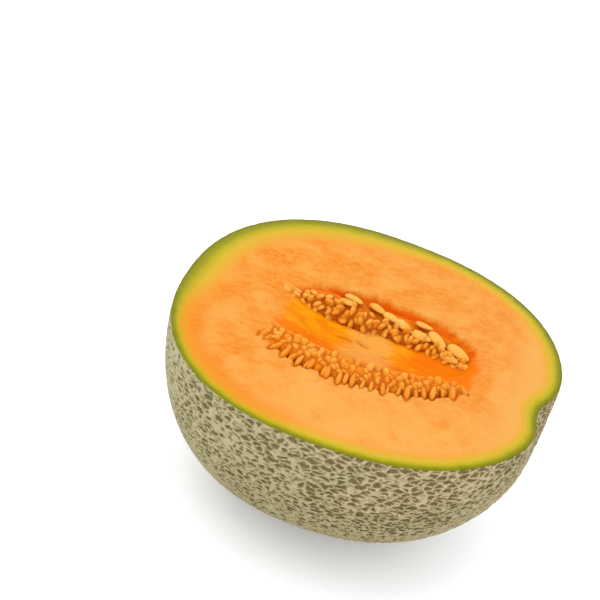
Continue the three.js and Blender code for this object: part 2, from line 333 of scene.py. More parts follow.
# The colours
LINE_GREEN = colour(165, 159, 125)
LINE_ROSY = colour(186, 162, 133)
# The darker line colour is partly real specks and partly painted shade, low down and on the lines' flanks.
LINE_SPECKS_AND_SHADE = colour(138, 127, 88)
PIT_DARK = colour(84, 73, 40)
PIT_LIGHT = colour(112, 100, 62)
# Painted shade: the pits' colour low down on the rind, where less light falls.
PIT_LOW_SHADE = colour(66, 57, 28)
RIM_STEPS = [
    (0.0, colour(110, 111, 12)),
    (0.15, colour(130, 127, 18)),
    (0.27, colour(160, 148, 26)),
    (0.44, colour(188, 154, 40)),
    (0.76, colour(203, 141, 46)),
]
RIM_BROAD = (-0.77, 0.64, 0)  # towards the part of the cut where the rim is broadest
RIM_SLIM = (-0.71, -0.71, 0)  # towards the part where it is slimmest
RIM = {"usual": 10.6, "slim": 9.6, "extra": 8.0, "waver": 2.6}  # its breadths, and how far its edge strays
FLESH_EDGE = colour(205, 134, 36)
FLESH_PEACH = colour(207, 150, 72)
FLESH_LEFT = colour(205, 110, 0)
FLESH_RIGHT = colour(203, 116, 34)
FLESH_PALE = colour(209, 149, 70)
PULP_GOLD = colour(212, 117, 0)
PULP_BRIGHT = colour(222, 139, 0)
PULP_DEEP = colour(214, 104, 0)
WALL_RED = colour(210, 88, 0)
WALL_ORANGE = colour(214, 112, 4)
# Painted shade in the sockets round the seeds in the cut face and in the pulp's slits.
SOCKET_SHADE = colour(184, 90, 2)
SEED_TONES = [(0.0, colour(212, 124, 12)), (0.5, colour(215, 143, 40)), (1.0, colour(221, 169, 80))]
SEED_STAIN = colour(204, 120, 28)
LIGHT_SPREAD = (1.0, 0.4, 0.12)  # under a soft surface, where red reaches the farthest
# The darker colour of each strand in the gaps round its seeds is painted shade.
PULP_BACK = {"ground": colour(210, 108, 4), "patch": colour(196, 94, 2), "gap_shade": colour(184, 92, 4)}
PULP_FRONT = {"ground": colour(216, 126, 4), "patch": colour(210, 112, 0), "gap_shade": colour(188, 94, 2)}

# The sizes of the patterns in the materials and in the net's relief
PATTERN = {
    "net_wander": 4.5,
    "net_broad": 26,
    "net_uneven": 2.6,
    "dimples": 1.5,
    "worn": 6,
    "rosy": 22,
    "specks": 0.8,
    "rim": 6,
    "clouds": 13,
    "mottling": 1.8,
    "amber": 9,
    "streaks": 3.2,
    "lumps": 9,
    "grain": 0.7,
    "stains": 2.2,
    "pulp": 3,
}


def colour_steps(tree, value, steps):
    """A colour ramp from (position, colour) pairs."""
    made = add_node(tree, "ShaderNodeValToRGB", {0: value})
    ramp = made.color_ramp
    for position, _ in steps[2:]:
        ramp.elements.new(position)
    for element, (position, shade) in zip(ramp.elements, steps):
        element.position = position
        element.color = shade
    return made.outputs[0]


def new_material(name, roughness, specular):
    """A material with its tree and its Principled shader."""
    material = bpy.data.materials.new(name)
    material.use_nodes = True
    tree = material.node_tree
    shader = tree.nodes["Principled BSDF"]
    shader.inputs["Roughness"].default_value = roughness
    shader.inputs["Specular IOR Level"].default_value = specular
    return material, tree, shader


def bumped(tree, height, strength, distance):
    """A normal with small relief, at most a distance in millimetres high."""
    inputs = {"Height": height, "Strength": strength, "Distance": distance * MM}
    return add_node(tree, "ShaderNodeBump", inputs).outputs[0]


# The net's pattern, used for the rind's relief and for its colour


def cell_edges(tree, place, size):
    """Distance to the nearest edge of cells that are longer level than upright."""
    stretched = vectors(tree, "MULTIPLY", place, (NET_STRETCH, NET_STRETCH, 1))
    inputs = {"Vector": stretched, "Scale": 1 / size}
    return add_node(tree, "ShaderNodeTexVoronoi", inputs, feature="DISTANCE_TO_EDGE").outputs[0]


def net_lines(tree, place):
    """How much of a net line there is, 0 to 1, at a place on the net's sphere in millimetres."""
    wander = noise_at(tree, place, PATTERN["net_wander"], output="Color")
    wander = vectors(tree, "SUBTRACT", wander, (0.5, 0.5, 0.5))
    edges = cell_edges(tree, vectors(tree, "MULTIPLY_ADD", wander, (2 * NET_WANDER,) * 3, place), NET_CELL)
    broad = ranged(tree, noise_at(tree, place, PATTERN["net_broad"], 1.0), 0.3, 0.7, -0.01, 0.04)
    uneven = ranged(tree, noise_at(tree, place, PATTERN["net_uneven"]), 0.3, 0.7, -0.05, 0.06)
    x = add_node(tree, "ShaderNodeSeparateXYZ", {0: place}).outputs[0]
    smooth_end = ranged(tree, x, -80.0, -30.0, 0.06, -0.03)
    width = maths(tree, "ADD", maths(tree, "ADD", broad, uneven), smooth_end)
    return ranged(tree, maths(tree, "SUBTRACT", edges, width), -0.05, 0.3, 1.0, 0.0)


def net_on(points):
    """The net lines' strength at unit directions from the melon's middle."""
    mesh = bpy.data.meshes.new("probe")
    mesh.from_pydata((points * NET_RADIUS).tolist(), [], [])
    probe = bpy.data.objects.new("probe", mesh)
    bpy.context.collection.objects.link(probe)
    tree = bpy.data.node_groups.new("net_probe", "GeometryNodeTree")
    tree.interface.new_socket("Geometry", in_out="INPUT", socket_type="NodeSocketGeometry")
    tree.interface.new_socket("Geometry", in_out="OUTPUT", socket_type="NodeSocketGeometry")
    place = tree.nodes.new("GeometryNodeInputPosition").outputs[0]
    start = tree.nodes.new("NodeGroupInput").outputs[0]
    inputs = {"Geometry": start, "Name": "net", "Value": net_lines(tree, place)}
    stored = add_node(tree, "GeometryNodeStoreNamedAttribute", inputs, data_type="FLOAT", domain="POINT")
    end = tree.nodes.new("NodeGroupOutput")
    tree.links.new(stored.outputs[0], end.inputs[0])
    probe.modifiers.new("net", "NODES").node_group = tree
    evaluated = probe.evaluated_get(bpy.context.evaluated_depsgraph_get())
    values = np.empty(len(points), "f")
    evaluated.data.attributes["net"].data.foreach_get("value", values)
    bpy.data.objects.remove(probe)
    bpy.data.meshes.remove(mesh)
    bpy.data.node_groups.remove(tree)
    return values


# The half melon


def skin_radius(directions):
    """Distance from the melon's middle to its smooth skin."""
    x, y, z = directions.T
    half_width = WIDTH / 2 * (1 - STEM_TAPER * x)
    along = np.abs(x) / (AXIS_LENGTH / 2)
    across = np.hypot(y, z) / half_width
    smooth = (along**FULLNESS + across**FULLNESS) ** (-1 / FULLNESS)
    dent = np.array((AXIS_LENGTH / 2, STEM_DENT["y"], STEM_DENT["z"]))
    away = np.arccos(np.clip(directions @ (dent / np.linalg.norm(dent)), -1, 1)) * AXIS_LENGTH / 2
    return smooth - STEM_DENT["depth"] * np.exp(-((away / STEM_DENT["radius"]) ** 2))


def dome_grid(steps):
    """Half a sphere made from a cube: its directions, outward quads and anticlockwise top ring."""
    half = steps // 2
    i, j, k = np.meshgrid(range(steps + 1), range(steps + 1), range(half + 1), indexing="ij")
    outer = (k == 0) | (i == 0) | (i == steps) | (j == 0) | (j == steps)
    ids = np.full(outer.shape, -1)
    ids[outer] = np.arange(outer.sum())
    cube = np.tan((np.stack((i[outer], j[outer], k[outer]), 1) * 2 / steps - 1) * math.pi / 4)
    directions = cube / np.linalg.norm(cube, axis=1, keepdims=True)

    def patch(corners, turned):
        a, b, c, d = corners[:-1, :-1], corners[1:, :-1], corners[1:, 1:], corners[:-1, 1:]
        quads = np.stack((a, b, c, d), 2).reshape(-1, 4)
        return quads[:, ::-1] if turned else quads

    quads = np.vstack(
        (
            patch(ids[:, :, 0], True),
            patch(ids[:, 0, :], False),
            patch(ids[steps, :, :], False),
            patch(ids[:, steps, :], True),
            patch(ids[0, :, :], True),
        )
    )
    top = ids[:, :, half]
    ring = np.concatenate((top[:-1, 0], top[steps, :-1], top[:0:-1, steps], top[0, :0:-1]))
    return directions, quads, ring


def hollow_points(share, angle):
    """Points of the hollow's floor, at a share of the way from its middle to its edge."""
    cos, sin = np.cos(angle), np.sin(angle)
    n = HOLLOW["fullness"]
    reach = share * (np.abs(cos) ** n + np.abs(sin) ** n) ** (-1 / n)
    x = reach * HOLLOW["half_length"] * cos
    y = reach * HOLLOW["half_width"] * (1 - HOLLOW["taper"] * cos) * sin
    bowl = np.sqrt(np.maximum(0, 1 - share ** HOLLOW["steepness"]))
    ramp = smoothstep(-HOLLOW["half_length"], HOLLOW["ramp"] - HOLLOW["half_length"], x)
    ridges = PULP_RIDGES["height"] * np.cos(y / HOLLOW["half_width"] * PULP_RIDGES["count"] * math.pi)
    end = HOLLOW["half_length"] + HOLLOW["overrun"]
    rise = 1 - smoothstep(end - HOLLOW["end_ramp"], end, x)
    depth = (HOLLOW["depth"] - ridges) * bowl * ramp * rise
    leaning = HOLLOW["skew"] * x / HOLLOW["half_length"]
    return np.stack((HOLLOW["x"] + x, HOLLOW["y"] + y + leaning, -depth), -1)


def stitch(outer, inner):
    """Faces between two rings, where the inner one has as many points or half as many."""
    n, m = len(outer), len(inner)
    if n == m:
        return [(outer[i], outer[(i + 1) % n], inner[(i + 1) % n], inner[i]) for i in range(n)]
    faces = []
    for i in range(m):
        first, middle, last = outer[2 * i], outer[2 * i + 1], outer[(2 * i + 2) % n]
        near, far = inner[i], inner[(i + 1) % m]
        faces += [(first, middle, near), (middle, far, near), (middle, last, far)]
    return faces


def wavy(points, size, seed):
    """Smooth noise from -1 to 1 at each point."""
    shift = Vector([seed * part for part in NOISE_SHIFT])
    return np.array([noise.noise(Vector(p) / size + shift) for p in points])


def relief(points, waves):
    """The sum of some waves, each with a length, a height and a seed."""
    return sum(wavy(points, length, seed) * height for length, height, seed in waves)


def pulp_relief(points):
    """The fibres and lumps of the pulp in the hollow."""
    return relief(points * (FIBRE_STRETCH, 1, 1), PULP_FIBRES) + relief(points, PULP_LUMPS)


def sockets(points, poses):
    """How far each point is in the socket round a seed, from 0 outside all of them to 1 at a seed."""
    half = np.array((SEED["length"], SEED["width"], SEED["thickness"])) / 2
    closeness = np.full(len(points), SOCKET["far"])
    for pose in poses:
        back = np.array(pose.inverted())
        local = points @ back[:3, :3].T + back[:3, 3]
        closeness = np.minimum(closeness, np.linalg.norm(local / half, axis=1))
    return 1 - smoothstep(SOCKET["near"], SOCKET["far"], closeness)


def slits(points):
    """How far each point of the pulp is in one of its short slits, from 0 to 1."""
    strength = np.zeros(len(points))
    for x, y, half_length in SLITS:
        along = (points[:, 0] - x) / half_length
        across = (points[:, 1] - y - SLIT["sway"] * np.sin(points[:, 0])) / SLIT["half_width"]
        strength = np.maximum(strength, np.exp(-(along**4) - across**2))
    return strength


class Shell:
    """The melon's points, their attributes and its faces, which grow ring by ring."""

    def __init__(self, points, faces):
        self.points = [points]
        self.faces = list(faces)
        self.count = len(points)
        self.values = {key: [np.zeros(len(points))] for key in ("depth", "inside", "socket")}

    def add_ring(self, places, **own):
        """Add points with their attributes, and give their numbers."""
        self.points.append(places)
        for key, parts in self.values.items():
            parts.append(np.broadcast_to(own.get(key, 0), len(places)).astype(float))
        self.count += len(places)
        return np.arange(self.count - len(places), self.count)


def rind_dome():
    """The netted rind's points, quads and top ring."""
    directions, quads, ring = dome_grid(DOME_STEPS)
    smooth = skin_radius(directions)
    net = net_on(directions)
    below_cut = -directions[:, 2] * smooth
    calm = NET_AT_CUT["share"] * (1 - smoothstep(0, NET_AT_CUT["height"], below_cut))
    net += (NET_AT_CUT["net"] - net) * calm
    radius = smooth + NET_FOOT + (NET_TOP - NET_FOOT) * net
    points = directions * radius[:, None]
    points[:, 2] = np.maximum(points[:, 2], -CUT_HEIGHT)
    return points, quads.tolist(), ring


def add_cut_face(shell, ring, cut_seeds):
    """Add the cut face, and give its last ring with that ring's places and angles."""
    rim = shell.points[0][ring]
    angle = np.arctan2(rim[:, 1], rim[:, 0])
    edge = hollow_points(np.ones(len(ring)), angle)
    behind = smoothstep(*RAGGED_EDGE["behind"], edge[:, 1])
    ragged = wavy(edge, RAGGED_EDGE["wave"], RAGGED_EDGE["seed"]) * behind
    edge[:, 1] += RAGGED_EDGE["size"] * ragged
    skin = rim / np.linalg.norm(rim, axis=1, keepdims=True)
    skin = skin * skin_radius(skin)[:, None]
    reach = np.linalg.norm(edge - skin, axis=1)
    for t in FACE_STEPS:
        places = skin + (edge - skin) * t
        near = smoothstep(*SAG["share"], t)
        places[:, 2] -= near * SAG["depth"] * (1 + wavy(places, SAG["wave"], SAG["seed"]))
        socket = sockets(places, cut_seeds)
        places[:, 2] -= SOCKET["depth"] * socket
        current = shell.add_ring(places, depth=reach * t, socket=socket)
        shell.faces += stitch(ring, current)
        ring = current
    return ring, places, angle


def add_hollow(shell, ring, lip, around):
    """Add the hollow's floor inside a ring, with half as many points where it is narrow."""
    for step in range(1, HOLLOW_RINGS):
        share = 1 - step / HOLLOW_RINGS
        if len(around) > FEWEST_AROUND and share < len(around) / AROUND_AT_EDGE:
            around = around[::2]
            lip = lip[::2]
        places = hollow_points(np.full(len(around), share), around)
        blend = 1 - smoothstep(0, LIP_SHARE, 1 - share)
        shift = lip - hollow_points(np.ones(len(around)), around)
        groove = slits(places)
        places += shift * blend
        places[:, 2] += pulp_relief(places) * (1 - blend) - SLIT["depth"] * groove
        places[:, 2] = np.minimum(places[:, 2], -BELOW_CUT)
        # The slits share the sockets' values, so the flesh's painted shade darkens them too.
        current = shell.add_ring(places, depth=DEEP_INSIDE, inside=1 - share, socket=groove)
        shell.faces += stitch(ring, current)
        ring = current
    middle = shell.add_ring(hollow_points(np.zeros(1), np.zeros(1)), depth=DEEP_INSIDE, inside=1)[0]
    shell.faces += [(ring[i], ring[(i + 1) % len(ring)], middle) for i in range(len(ring))]


def build_melon(rind, flesh, cut_seeds):
    """The rind and flesh as one closed mesh."""
    points, quads, ring = rind_dome()
    shell = Shell(points, quads)
    ring, edge, angle = add_cut_face(shell, ring, cut_seeds)
    add_hollow(shell, ring, edge[::2], angle[::2])
    faces = [tuple(int(v) for v in face) for face in shell.faces]
    values = {key: np.concatenate(parts) for key, parts in shell.values.items()}
    melon = make_mesh("melon", np.vstack(shell.points), faces, (rind, flesh), values)
    slots = np.ones(len(faces), "i")
    slots[: len(quads)] = 0
    melon.data.polygons.foreach_set("material_index", slots)
    return melon


# The seeds and their strands


def spine(lobe, t):
    """A point on the middle line of a lobe's strand, for t from -1 (blossom end) to 1 (stem end)."""
    y = lobe["y"] - lobe["side"] * lobe["bend"] * t * t + lobe["slant"] * t
    return Vector((HOLLOW["x"] + t * lobe["half_length"], y, lobe["z"] + lobe["rise"] * min(t, 0) ** 2))


def girth(lobe, t):
    """A strand's thickness at t, as a share of that at its middle."""
    return math.sqrt(1 - abs(t) ** (2 * lobe["fullness"]))


def place_on(lobe, t, angle, stand_out):
    """A place on a lobe: its middle and the directions out of the strand and along it."""
    tilt = math.radians(angle)
    out = Vector((0, -lobe["side"] * math.cos(tilt), math.sin(tilt)))
    surface = Vector((0, out.y * lobe["half_width"], out.z * lobe["half_height"])) * girth(lobe, t)
    slope = (lobe["slant"] - 2 * lobe["side"] * lobe["bend"] * t) / lobe["half_length"]
    return spine(lobe, t) + surface + out * stand_out, out, Vector((1, slope, 0)).normalized()


def seed_pose(middle, tip, sideways, twist, size=(1, 1, 1)):
    """A seed's place, turn and size. Its flat side is square to its tip's direction and to sideways."""
    turned = Matrix((tip, sideways, tip.cross(sideways))).transposed().to_4x4()
    scaled = Matrix.Diagonal((*size, 1))
    return Matrix.Translation(middle) @ turned @ Matrix.Rotation(twist, 4, "X") @ scaled


def row_of_seeds(lobe, row, draw):
    """The poses of a row's seeds, which point into the strand."""
    poses = []
    for i in range(row["count"]):
        share = (i + 0.5 + vary(draw, SEED_JITTER["along"]) * row["count"]) / row["count"]
        t = row["from"] + (row["to"] - row["from"]) * share
        angle = row["angle"] + vary(draw, SEED_JITTER["tilt"])
        middle, out, along = place_on(lobe, t, angle, row["stand_out"])
        skew = Vector((0, vary(draw, SEED_JITTER["turn"]), vary(draw, SEED_JITTER["turn"])))
        skewed = (along + skew).normalized()
        tip = (skewed * vary(draw, SEED_JITTER["lean"]) - out).normalized()
        sideways = skewed.cross(tip).normalized()
        poses.append(seed_pose(middle, tip, sideways, vary(draw, SEED_JITTER["twist"])))
    return poses


def lying_seeds(lobe):
    """The poses of the seeds that lie on a lobe."""
    poses = []
    for seed in lobe["lying"]:
        middle, out, along = place_on(lobe, seed["t"], seed["angle"], lobe["lying_stand_out"])
        tip = Matrix.Rotation(math.radians(seed["turn"]), 3, out) @ along
        poses.append(seed_pose(middle, tip, out.cross(tip).normalized(), 0, (seed["size"],) * 3))
    return poses


def cut_seed_poses(lobe):
    """The poses of the seeds in the cut face along a lobe's outer side, turned on edge."""
    draw = random_from(CUT_SEEDS["seed"])
    poses = []
    for i in range(CUT_SEEDS["count"]):
        share = (i + 0.5 + vary(draw, CUT_SEEDS["jitter"])) / CUT_SEEDS["count"]
        t = CUT_SEEDS["from"] + (CUT_SEEDS["to"] - CUT_SEEDS["from"]) * share
        away = lobe["half_width"] * girth(lobe, t) + pick(draw, *CUT_SEEDS["outside"])
        middle = spine(lobe, t) + Vector((0, lobe["side"] * away, 0))
        middle.z = -pick(draw, *CUT_SEEDS["depth"])
        fan = CUT_SEEDS["fan"] * (t + vary(draw, CUT_SEEDS["fan_jitter"]))
        tip = Vector((-math.sin(fan), -lobe["side"] * math.cos(fan), 0))
        size = pick(draw, *CUT_SEEDS["size"])
        whole = (size, size, size * CUT_SEEDS["edge"])
        poses.append(seed_pose(middle, tip, Vector((0, 0, 1)), vary(draw, CUT_SEEDS["twist"]), whole))
    return poses


def ring_faces(rings, sides, turned=False):
    """Faces of a form with rings of points between two end points, and turned about if asked."""
    last = 1 + (rings - 2) * sides
    end = last + sides
    faces = [(0, 1 + s, 1 + (s + 1) % sides) for s in range(sides)]
    for start in range(1, last, sides):
        for s in range(sides):
            a, b = start + s, start + (s + 1) % sides
            faces.append((a, a + sides, b + sides, b))
    faces += [(end, last + (s + 1) % sides, last + s) for s in range(sides)]
    return [face[:1] + face[:0:-1] for face in faces] if turned else faces


def seed_shape():
    """Points and faces of a smooth flat drop, round at -X and drawn in towards its tip at +X."""
    rings, sides = SEED_STEPS["rings"], SEED_STEPS["sides"]
    points = [(-0.5, 0, 0)]
    for r in range(1, rings):
        turn = math.pi * r / rings
        x = signed_power(-math.cos(turn), SEED["bluntness"]) / 2
        for s in range(sides):
            a = 2 * math.pi * s / sides
            points.append((x, math.sin(turn) * math.cos(a) / 2, math.sin(turn) * math.sin(a) / 2))
    points.append((0.5, 0, 0))
    points = np.array(points)
    slim = 1 - SEED["tip"] * (points[:, 0] + 0.5) ** 2
    points[:, 0] *= SEED["length"]
    points[:, 1] *= SEED["width"] * slim
    points[:, 2] *= SEED["thickness"] * slim
    return points, ring_faces(rings, sides, turned=True)


def build_seeds(name, seed, groups, material):
    """Seeds in one mesh, each with its own size and bend. A group is its poses and its range of tones."""
    shape, shape_faces = seed_shape()
    draw = random_from(seed)
    points, faces, tones = [], [], []
    for poses, tone_range in groups:
        for pose in poses:
            own = shape * pick(draw, SEED_VARIETY["smallest"], 1)
            own[:, 2] += own[:, 0] ** 2 * vary(draw, SEED_VARIETY["bend"])
            turned = own @ np.array(pose.to_3x3()).T + np.array(pose.translation)
            turned[:, 2] = np.minimum(turned[:, 2], 0)
            faces += [tuple(v + len(points) * len(shape) for v in face) for face in shape_faces]
            points.append(turned)
            tones.append(np.full(len(shape), pick(draw, *tone_range)))
    return make_mesh(name, np.vstack(points), faces, (material,), {"tone": np.concatenate(tones)})


def strand_points(lobe):
    """The smooth strand of a lobe, ring by ring between its two ends."""
    rings, sides = STRAND_STEPS["rings"], STRAND_STEPS["sides"]
    points = [spine(lobe, -1)]
    for r in range(1, rings):
        turn = math.pi * r / rings
        middle = spine(lobe, signed_power(-math.cos(turn), 1 / lobe["fullness"]))
        for s in range(sides):
            a = 2 * math.pi * s / sides
            y, z = (signed_power(v, 2 / lobe["squareness"]) for v in (math.cos(a), math.sin(a)))
            across = Vector((0, y * lobe["half_width"], z * lobe["half_height"]))
            points.append(middle + across * math.sin(turn))
    points.append(spine(lobe, 1))
    return np.array(points)


def build_strand(name, lobe, poses, material):
    """The pulp that holds a lobe's seeds, sunk in a groove round each of them."""
    points = strand_points(lobe)
    socket = sockets(points, poses)
    centre = np.array([spine(lobe, (p[0] - HOLLOW["x"]) / lobe["half_length"]) for p in points])
    outward = points - centre
    outward /= np.maximum(np.linalg.norm(outward, axis=1, keepdims=True), SHORTEST)
    waves = [(length, height, lobe["seed"] + i) for i, (length, height) in enumerate(STRAND_LUMPS)]
    points = points + outward * (relief(points, waves) - STRAND_GROOVE * socket)[:, None]
    points[:, 2] = np.minimum(points[:, 2], -BELOW_CUT)
    return make_mesh(name, points, ring_faces(**STRAND_STEPS), (material,), {"socket": socket})


# Materials


def in_millimetres(tree):
    """The place on the part, with z from the resting spot."""
    place = add_node(tree, "ShaderNodeTexCoord").outputs["Object"]
    return vectors(tree, "MULTIPLY", place, (1000, 1000, 1000))


def from_middle(tree, place):
    """The direction of a place from the melon's middle."""
    return vectors(tree, "NORMALIZE", vectors(tree, "SUBTRACT", place, (0, 0, CUT_HEIGHT)))


def split(tree, place):
    """The x, y and z of a place."""
    return add_node(tree, "ShaderNodeSeparateXYZ", {0: place}).outputs


def attribute(tree, name):
    """One of the values that a mesh holds for each of its points."""
    return add_node(tree, "ShaderNodeAttribute", attribute_name=name).outputs["Fac"]


def soften(shader, weight, scale):
    """Let light spread under the surface, over a scale in millimetres."""
    shader.inputs["Subsurface Weight"].default_value = weight
    shader.inputs["Subsurface Radius"].default_value = LIGHT_SPREAD
    shader.inputs["Subsurface Scale"].default_value = scale * MM


def worn_lines(tree, on_net, x):
    """The net's lines with small dimples in them, fewer towards the stem end."""
    worn = ranged(tree, noise_at(tree, on_net, PATTERN["worn"]), 0.35, 0.6, 0.3, 0.75)
    worn = maths(tree, "MULTIPLY", worn, ranged(tree, x, *NET_BOLDER, 1.0, 0.6))
    dimples = ranged(tree, cell_edges(tree, on_net, PATTERN["dimples"]), 0.1, 0.32)
    left = maths(tree, "SUBTRACT", 1.0, maths(tree, "MULTIPLY", dimples, worn))
    return maths(tree, "MULTIPLY", net_lines(tree, on_net), left)


def rind_material():
    """Pale lines over dark pits, rosier and bolder towards the stem end, with painted shade low down and on
    the lines' flanks.
    """
    material, tree, shader = new_material("netted_rind", roughness=0.8, specular=0.15)
    on_net = vectors(tree, "MULTIPLY", from_middle(tree, in_millimetres(tree)), (NET_RADIUS,) * 3)
    x, _, z = split(tree, on_net)
    lines = worn_lines(tree, on_net, x)
    patches = ranged(tree, noise_at(tree, on_net, PATTERN["rosy"]), 0.35, 0.65)
    specks = ranged(tree, noise_at(tree, on_net, PATTERN["specks"], 3.0, 0.7), 0.3, 0.7)
    rosy = maths(tree, "MULTIPLY", ranged(tree, x, -30.0, 50.0), maths(tree, "ADD", patches, 0.3))
    # Painted shade: towards the bottom the lines are darkened, mixed with the real specks, and the pits take
    # a darker colour.
    low = ranged(tree, z, -60.0, 0.0, 1.0, 0.0)
    shade_and_specks = maths(tree, "MULTIPLY_ADD", low, 0.4, maths(tree, "MULTIPLY", specks, 0.45))
    ridge = blend_colours(tree, shade_and_specks, blend_colours(tree, rosy, LINE_GREEN, LINE_ROSY), LINE_SPECKS_AND_SHADE)
    pit = blend_colours(tree, specks, PIT_DARK, PIT_LIGHT)
    pit = blend_colours(tree, maths(tree, "MULTIPLY", low, 0.75), pit, PIT_LOW_SHADE)
    thinned = maths(tree, "SUBTRACT", lines, ranged(tree, x, *NET_BOLDER, 0.0, 0.12))
    # Painted shade and highlight: the lines' flanks take the darker colour, and their tops the lighter one.
    slope = blend_colours(tree, ranged(tree, thinned, 0.0, 0.4), pit, LINE_SPECKS_AND_SHADE)
    shade = blend_colours(tree, ranged(tree, thinned, 0.3, 0.83), slope, ridge)
    tree.links.new(shade, shader.inputs["Base Color"])
    height = maths(tree, "ADD", lines, maths(tree, "MULTIPLY", specks, 0.25))
    tree.links.new(bumped(tree, height, 0.6, 0.5), shader.inputs["Normal"])
    return material


def rim_share(tree, place, outward, slim_side):
    """How far a point of the cut is from the skin, as a share of the green rim's breadth there."""
    broad_side = dot_product(tree, outward, RIM_BROAD)
    waver = wave_at(tree, place, PATTERN["rim"], RIM["waver"], 5.0, 0.68)
    depth = maths(tree, "ADD", attribute(tree, "depth"), waver)
    extra = ranged(tree, broad_side, 0.4, 0.9, 0.0, RIM["extra"])
    extra = maths(tree, "MULTIPLY", extra, ranged(tree, depth, 0.3, 3.5))
    usual = ranged(tree, slim_side, 0.8, 0.97, RIM["usual"], RIM["slim"])
    return maths(tree, "DIVIDE", depth, maths(tree, "ADD", extra, usual))


def flesh_colour(tree, place, x, y):
    """The flesh inside the rim: deeper on the left, paler in front, clouded, mottled and patched."""
    clouds = ranged(tree, noise_at(tree, place, PATTERN["clouds"], 4.0, 0.6), 0.35, 0.68)
    drawn_out = vectors(tree, "MULTIPLY", place, (0.6, 1, 1))
    mottling = ranged(tree, noise_at(tree, drawn_out, PATTERN["mottling"], 3.0, 0.6), 0.3, 0.7)
    amber = ranged(tree, noise_at(tree, place, PATTERN["amber"], 5.0, 0.68), 0.52, 0.72)
    in_front = ranged(tree, y, -10.0, -60.0, 0.0, 0.7)
    in_front = maths(tree, "MULTIPLY", in_front, ranged(tree, x, -50.0, -12.0))
    flesh = blend_colours(tree, ranged(tree, x, -40.0, 80.0), FLESH_LEFT, FLESH_RIGHT)
    flesh = blend_colours(tree, in_front, flesh, FLESH_PALE)
    flesh = blend_colours(tree, maths(tree, "MULTIPLY_ADD", clouds, 0.7, 0.02), flesh, FLESH_PALE)
    flesh = blend_colours(tree, maths(tree, "MULTIPLY", mottling, 0.5), flesh, FLESH_PALE)
    return blend_colours(tree, maths(tree, "MULTIPLY", amber, 0.45), flesh, FLESH_LEFT)


def cut_colour(tree, place, x, y):
    """The cut face, from the green rim to the flesh, more orange on the left and peach at the stem end."""
    outward = from_middle(tree, place)
    slim_side = dot_product(tree, outward, RIM_SLIM)
    from_skin = rim_share(tree, place, outward, slim_side)
    rim = colour_steps(tree, from_skin, [*RIM_STEPS, (1.0, FLESH_EDGE)])
    cut = blend_colours(tree, ranged(tree, from_skin, 0.6, 1.05), rim, flesh_colour(tree, place, x, y))
    band = maths(tree, "SUBTRACT", ranged(tree, from_skin, 0.2, 0.45), ranged(tree, from_skin, 0.9, 1.6))
    orange_side = maths(tree, "MULTIPLY", ranged(tree, slim_side, 0.72, 0.95), band)
    cut = blend_colours(tree, maths(tree, "MULTIPLY", orange_side, 0.5), cut, FLESH_LEFT)
    stem_side = maths(tree, "MULTIPLY", ranged(tree, x, 48.0, 66.0), ranged(tree, from_skin, 0.5, 0.85))
    return blend_colours(tree, maths(tree, "MULTIPLY", stem_side, 0.8), cut, FLESH_PEACH)


def hollow_colour(tree, place, x, y, lumps):
    """The pulp: golden with streaks, deeper in front and at the stem end, pale midway, red behind."""
    along_fibres = vectors(tree, "MULTIPLY", place, (FIBRE_STRETCH, 1, 1))
    streaks = noise_at(tree, along_fibres, PATTERN["streaks"], 3.0, 0.6)
    forward = ranged(tree, maths(tree, "ADD", y, lumps), 1.0, -9.0)
    forward = maths(tree, "MAXIMUM", forward, ranged(tree, maths(tree, "ADD", x, lumps), 9.0, 22.0))
    from_centre = maths(tree, "ABSOLUTE", maths(tree, "MULTIPLY_ADD", lumps, 0.7, x))
    floor = blend_colours(tree, ranged(tree, streaks, 0.38, 0.62), PULP_GOLD, PULP_BRIGHT)
    floor = blend_colours(tree, maths(tree, "MULTIPLY", forward, 0.85), floor, PULP_DEEP)
    floor = blend_colours(tree, ranged(tree, from_centre, 4.0, 14.0, 0.7, 0.0), floor, FLESH_PALE)
    wall = blend_colours(tree, ranged(tree, streaks, 0.4, 0.65), WALL_RED, WALL_ORANGE)
    near_edge = ranged(tree, attribute(tree, "inside"), 0.12, 0.3, 1.0, 0.0)
    return blend_colours(tree, maths(tree, "MULTIPLY", near_edge, ranged(tree, y, 6.0, 16.0)), floor, wall)


def flesh_material():
    """The cut face and, where the surface is sunk, the pulp of the hollow."""
    material, tree, shader = new_material("orange_flesh", roughness=0.5, specular=0.04)
    place = in_millimetres(tree)
    x, y, z = split(tree, place)
    lumps = wave_at(tree, place, PATTERN["lumps"], 26.0)
    sunk = maths(tree, "SUBTRACT", CUT_HEIGHT, maths(tree, "MULTIPLY_ADD", lumps, 0.08, z))
    cut = cut_colour(tree, place, x, y)
    hollow = hollow_colour(tree, place, x, y, lumps)
    shade = blend_colours(tree, ranged(tree, sunk, 0.4, 2.5), cut, hollow)
    # Painted shade: darker in the sockets round the cut seeds and in the slits of the pulp.
    shade = blend_colours(tree, maths(tree, "MULTIPLY", attribute(tree, "socket"), 0.95), shade, SOCKET_SHADE)
    tree.links.new(shade, shader.inputs["Base Color"])
    soften(shader, 0.15, 2)
    grain = noise_at(tree, place, PATTERN["grain"], 4.0, 0.65)
    tree.links.new(bumped(tree, grain, 0.3, 0.3), shader.inputs["Normal"])
    return material


